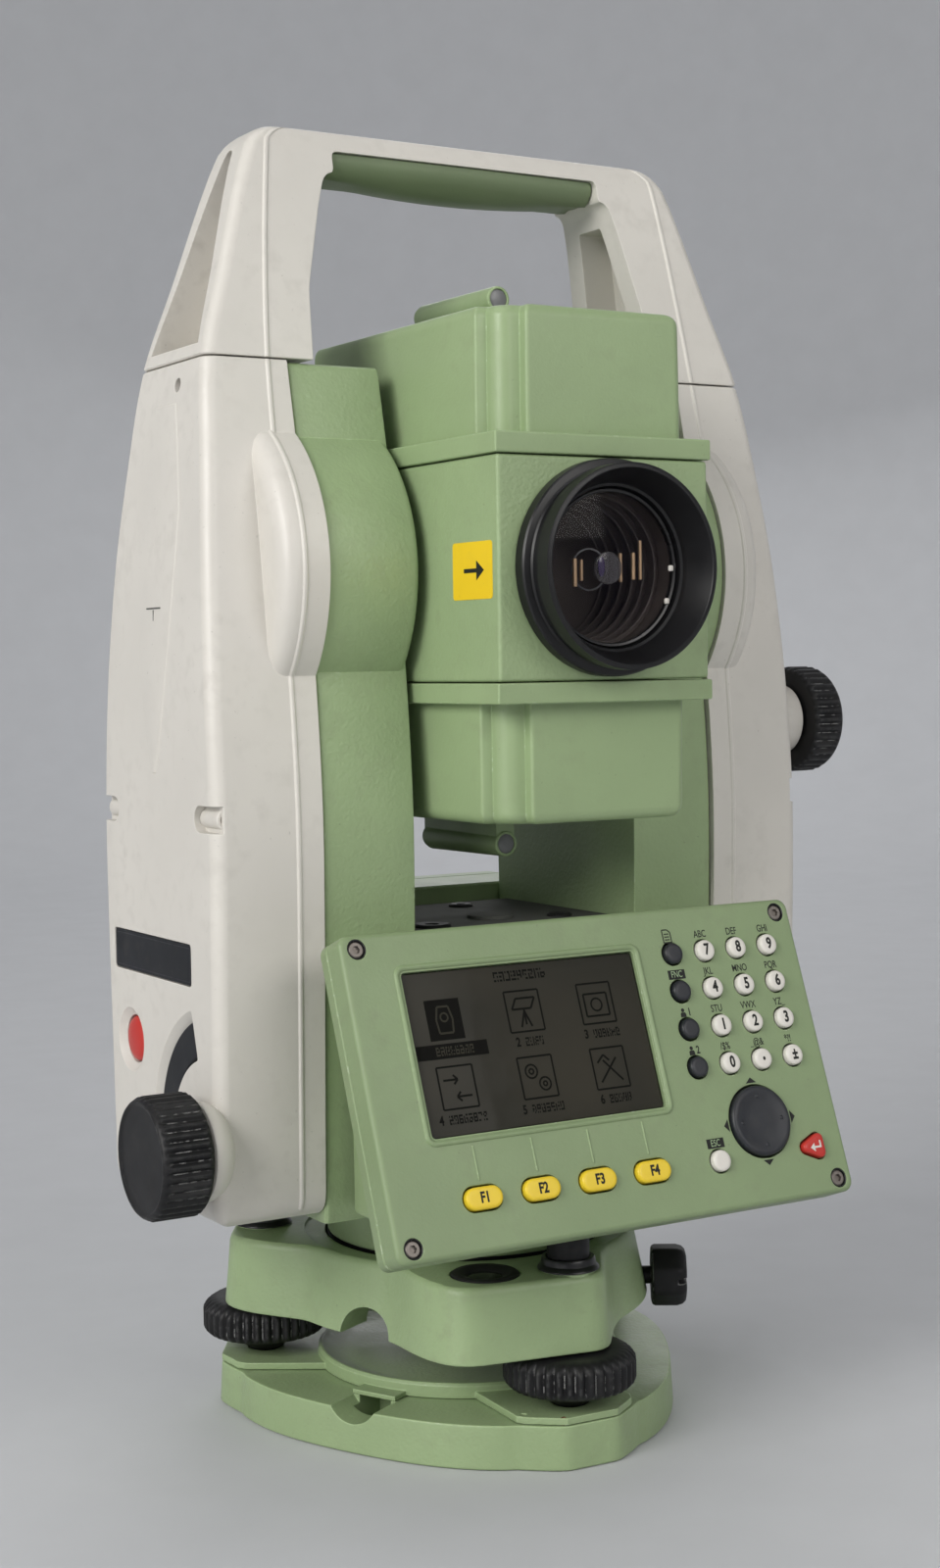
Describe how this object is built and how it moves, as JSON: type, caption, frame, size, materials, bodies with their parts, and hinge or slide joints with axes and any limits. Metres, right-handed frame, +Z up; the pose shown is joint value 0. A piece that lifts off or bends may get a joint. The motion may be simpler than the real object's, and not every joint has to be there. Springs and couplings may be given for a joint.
{
  "type": "surveying total station",
  "caption": "Electronic total station on a three-screw levelling base, with tilting telescope, keyboard with display, side drive knobs, battery and carrying handle.",
  "frame": {"origin": "centre of the underside of the base plate, on the vertical axis", "axes": "+Z up along the vertical axis, -Y towards the keyboard and the objective, +X to the right of someone reading the keyboard"},
  "size_m": [0.229, 0.1822, 0.3596],
  "materials": {
    "green": "satin",
    "green_dark": "satin",
    "green_plastic": "satin",
    "white": "satin",
    "black": "satin",
    "grip": "matte",
    "metal": "satin",
    "barrel": "satin",
    "lens": "gloss",
    "circle_glass": "gloss",
    "display": "gloss",
    "key_white": "satin",
    "key_yellow": "satin",
    "key_red": "satin"
  },
  "bodies": {
    "base": {"base_plate": "green", "spring_plate": "green"},
    "tribrach": {"tribrach_body": "green", "circular_level": "black"},
    "foot_screw_front": {"foot_screw_front": "black"},
    "foot_screw_left": {"foot_screw_left": "black"},
    "foot_screw_right": {"foot_screw_right": "black"},
    "lock_knob": {"lock_knob": "black"},
    "lock_ring": {"lock_ring": "metal"},
    "flange": {"flange_base": "green_dark", "horizontal_circle": "circle_glass"},
    "alidade": {"alidade_frame": "green", "left_cover": "white", "right_cover": "white", "carrying_handle": "white", "handle_grip": "grip", "keyboard_panel": "green_plastic", "keyboard_neck": "green_plastic", "display_window": "display", "rear_housing": "green_plastic", "name_plate": "black"},
    "telescope": {"telescope_housing": "green", "telescope_top_cover": "green_plastic", "telescope_bottom_cover": "green_plastic", "objective_barrel": "barrel", "objective_lens": "lens", "vertical_circle": "circle_glass"},
    "focus_ring": {"focus_ring": "black"},
    "focusing_lens": {"focusing_lens": "lens"},
    "eyepiece": {"eyepiece": "black"},
    "horizontal_drive_knob": {"horizontal_drive_knob": "black"},
    "vertical_drive_knob": {"vertical_drive_knob": "black"},
    "power_key": {"power_key": "key_red"},
    "trigger_key": {"trigger_key": "black"},
    "battery": {"battery": "black", "battery_door": "white"},
    "usb_lid": {"usb_lid": "white"},
    "key_0": {"key_0": "key_white"},
    "key_1": {"key_1": "key_white"},
    "key_2": {"key_2": "key_white"},
    "key_3": {"key_3": "key_white"},
    "key_4": {"key_4": "key_white"},
    "key_5": {"key_5": "key_white"},
    "key_6": {"key_6": "key_white"},
    "key_7": {"key_7": "key_white"},
    "key_8": {"key_8": "key_white"},
    "key_9": {"key_9": "key_white"},
    "key_point": {"key_point": "key_white"},
    "key_sign": {"key_sign": "key_white"},
    "key_esc": {"key_esc": "key_white"},
    "key_side_1": {"key_side_1": "black"},
    "key_f1": {"key_f1": "key_yellow"},
    "key_side_2": {"key_side_2": "black"},
    "key_f2": {"key_f2": "key_yellow"},
    "key_side_3": {"key_side_3": "black"},
    "key_f3": {"key_f3": "key_yellow"},
    "key_side_4": {"key_side_4": "black"},
    "key_f4": {"key_f4": "key_yellow"},
    "key_nav": {"key_nav": "black"},
    "key_enter": {"key_enter": "key_red"}
  },
  "joints": [
    {"name": "foot_screw_front_turn", "type": "hinge", "parent": "base", "child": "foot_screw_front", "pos_m": [-0.003, -0.05932, 0], "axis": [0, 0, -1], "range_deg": [-181, 2161]},
    {"name": "foot_screw_left_turn", "type": "hinge", "parent": "base", "child": "foot_screw_left", "pos_m": [-0.04987, 0.03227, 0], "axis": [0, 0, -1], "range_deg": [-181, 2161]},
    {"name": "foot_screw_right_turn", "type": "hinge", "parent": "base", "child": "foot_screw_right", "pos_m": [0.05288, 0.02706, 0], "axis": [0, 0, -1], "range_deg": [-181, 2161]},
    {"name": "levelling_lift", "type": "slide", "parent": "base", "child": "tribrach", "axis": [0, 0, 1], "range_m": [-0.0005, 0.006]},
    {"name": "lock_knob_turn", "type": "hinge", "parent": "tribrach", "child": "lock_knob", "pos_m": [0, 0, 0.0345], "axis": [0.8396, -0.5432, 0], "range_deg": [0, 180]},
    {"name": "lock_ring_turn", "type": "hinge", "parent": "tribrach", "child": "lock_ring", "pos_m": [0, 0, 0.0345], "axis": [0, 0, 1], "range_deg": [-0.1, 20.1]},
    {"name": "instrument_lift_off", "type": "slide", "parent": "tribrach", "child": "flange", "axis": [0, 0, 1], "range_m": [0, 0.03]},
    {"name": "alidade_turn", "type": "hinge", "parent": "flange", "child": "alidade", "pos_m": [0, 0, 0.066], "axis": [0, 0, 1], "continuous": true},
    {"name": "telescope_tilt", "type": "hinge", "parent": "alidade", "child": "telescope", "pos_m": [0, 0, 0.239], "axis": [1, 0, 0], "continuous": true},
    {"name": "focus_ring_turn", "type": "hinge", "parent": "telescope", "child": "focus_ring", "pos_m": [0, 0, 0.239], "axis": [0, 1, 0], "range_deg": [-170, 170]},
    {"name": "focusing_lens_travel", "type": "slide", "parent": "telescope", "child": "focusing_lens", "axis": [0, 1, 0], "range_m": [-0.00701, 0.00701]},
    {"name": "eyepiece_turn", "type": "hinge", "parent": "telescope", "child": "eyepiece", "pos_m": [0, 0, 0.239], "axis": [0, 1, 0], "range_deg": [-150, 150]},
    {"name": "horizontal_drive_turn", "type": "hinge", "parent": "alidade", "child": "horizontal_drive_knob", "pos_m": [0, -0.0317, 0.0893], "axis": [1, 0, 0], "continuous": true},
    {"name": "vertical_drive_turn", "type": "hinge", "parent": "alidade", "child": "vertical_drive_knob", "pos_m": [0, -0.0206, 0.1955], "axis": [1, 0, 0], "continuous": true},
    {"name": "power_key_press", "type": "slide", "parent": "alidade", "child": "power_key", "axis": [1, 0, 0], "range_m": [0, 0.001]},
    {"name": "trigger_key_press", "type": "slide", "parent": "alidade", "child": "trigger_key", "axis": [1, 0, 0], "range_m": [0, 0.0015]},
    {"name": "battery_draw", "type": "slide", "parent": "alidade", "child": "battery", "axis": [1, 0, 0], "range_m": [0, 0.06]},
    {"name": "usb_lid_open", "type": "hinge", "parent": "alidade", "child": "usb_lid", "pos_m": [0.0942, 0.016, 0.1586], "axis": [0, 1, 0], "range_deg": [0, 100]},
    {"name": "key_0_press", "type": "slide", "parent": "alidade", "child": "key_0", "axis": [0, 0.9354, -0.3535], "range_m": [0, 0.001]},
    {"name": "key_1_press", "type": "slide", "parent": "alidade", "child": "key_1", "axis": [0, 0.9354, -0.3535], "range_m": [0, 0.001]},
    {"name": "key_2_press", "type": "slide", "parent": "alidade", "child": "key_2", "axis": [0, 0.9354, -0.3535], "range_m": [0, 0.001]},
    {"name": "key_3_press", "type": "slide", "parent": "alidade", "child": "key_3", "axis": [0, 0.9354, -0.3535], "range_m": [0, 0.001]},
    {"name": "key_4_press", "type": "slide", "parent": "alidade", "child": "key_4", "axis": [0, 0.9354, -0.3535], "range_m": [0, 0.001]},
    {"name": "key_5_press", "type": "slide", "parent": "alidade", "child": "key_5", "axis": [0, 0.9354, -0.3535], "range_m": [0, 0.001]},
    {"name": "key_6_press", "type": "slide", "parent": "alidade", "child": "key_6", "axis": [0, 0.9354, -0.3535], "range_m": [0, 0.001]},
    {"name": "key_7_press", "type": "slide", "parent": "alidade", "child": "key_7", "axis": [0, 0.9354, -0.3535], "range_m": [0, 0.001]},
    {"name": "key_8_press", "type": "slide", "parent": "alidade", "child": "key_8", "axis": [0, 0.9354, -0.3535], "range_m": [0, 0.001]},
    {"name": "key_9_press", "type": "slide", "parent": "alidade", "child": "key_9", "axis": [0, 0.9354, -0.3535], "range_m": [0, 0.001]},
    {"name": "key_enter_press", "type": "slide", "parent": "alidade", "child": "key_enter", "axis": [0, 0.9354, -0.3535], "range_m": [0, 0.001]},
    {"name": "key_esc_press", "type": "slide", "parent": "alidade", "child": "key_esc", "axis": [0, 0.9354, -0.3535], "range_m": [0, 0.001]},
    {"name": "key_f1_press", "type": "slide", "parent": "alidade", "child": "key_f1", "axis": [0, 0.9354, -0.3535], "range_m": [0, 0.001]},
    {"name": "key_f2_press", "type": "slide", "parent": "alidade", "child": "key_f2", "axis": [0, 0.9354, -0.3535], "range_m": [0, 0.001]},
    {"name": "key_f3_press", "type": "slide", "parent": "alidade", "child": "key_f3", "axis": [0, 0.9354, -0.3535], "range_m": [0, 0.001]},
    {"name": "key_f4_press", "type": "slide", "parent": "alidade", "child": "key_f4", "axis": [0, 0.9354, -0.3535], "range_m": [0, 0.001]},
    {"name": "key_nav_press", "type": "slide", "parent": "alidade", "child": "key_nav", "axis": [0, 0.9354, -0.3535], "range_m": [0, 0.001]},
    {"name": "key_point_press", "type": "slide", "parent": "alidade", "child": "key_point", "axis": [0, 0.9354, -0.3535], "range_m": [0, 0.001]},
    {"name": "key_side_1_press", "type": "slide", "parent": "alidade", "child": "key_side_1", "axis": [0, 0.9354, -0.3535], "range_m": [0, 0.001]},
    {"name": "key_side_2_press", "type": "slide", "parent": "alidade", "child": "key_side_2", "axis": [0, 0.9354, -0.3535], "range_m": [0, 0.001]},
    {"name": "key_side_3_press", "type": "slide", "parent": "alidade", "child": "key_side_3", "axis": [0, 0.9354, -0.3535], "range_m": [0, 0.001]},
    {"name": "key_side_4_press", "type": "slide", "parent": "alidade", "child": "key_side_4", "axis": [0, 0.9354, -0.3535], "range_m": [0, 0.001]},
    {"name": "key_sign_press", "type": "slide", "parent": "alidade", "child": "key_sign", "axis": [0, 0.9354, -0.3535], "range_m": [0, 0.001]}
  ],
  "couplings": [
    {"joint": "foot_screw_front_turn", "follows": "levelling_lift", "rad_per_m": 6283.2},
    {"joint": "foot_screw_left_turn", "follows": "levelling_lift", "rad_per_m": 6283.2},
    {"joint": "foot_screw_right_turn", "follows": "levelling_lift", "rad_per_m": 6283.2},
    {"joint": "lock_ring_turn", "follows": "lock_knob_turn", "ratio": 0.11111},
    {"joint": "focusing_lens_travel", "follows": "focus_ring_turn", "m_per_rad": 0.0023592}
  ]
}
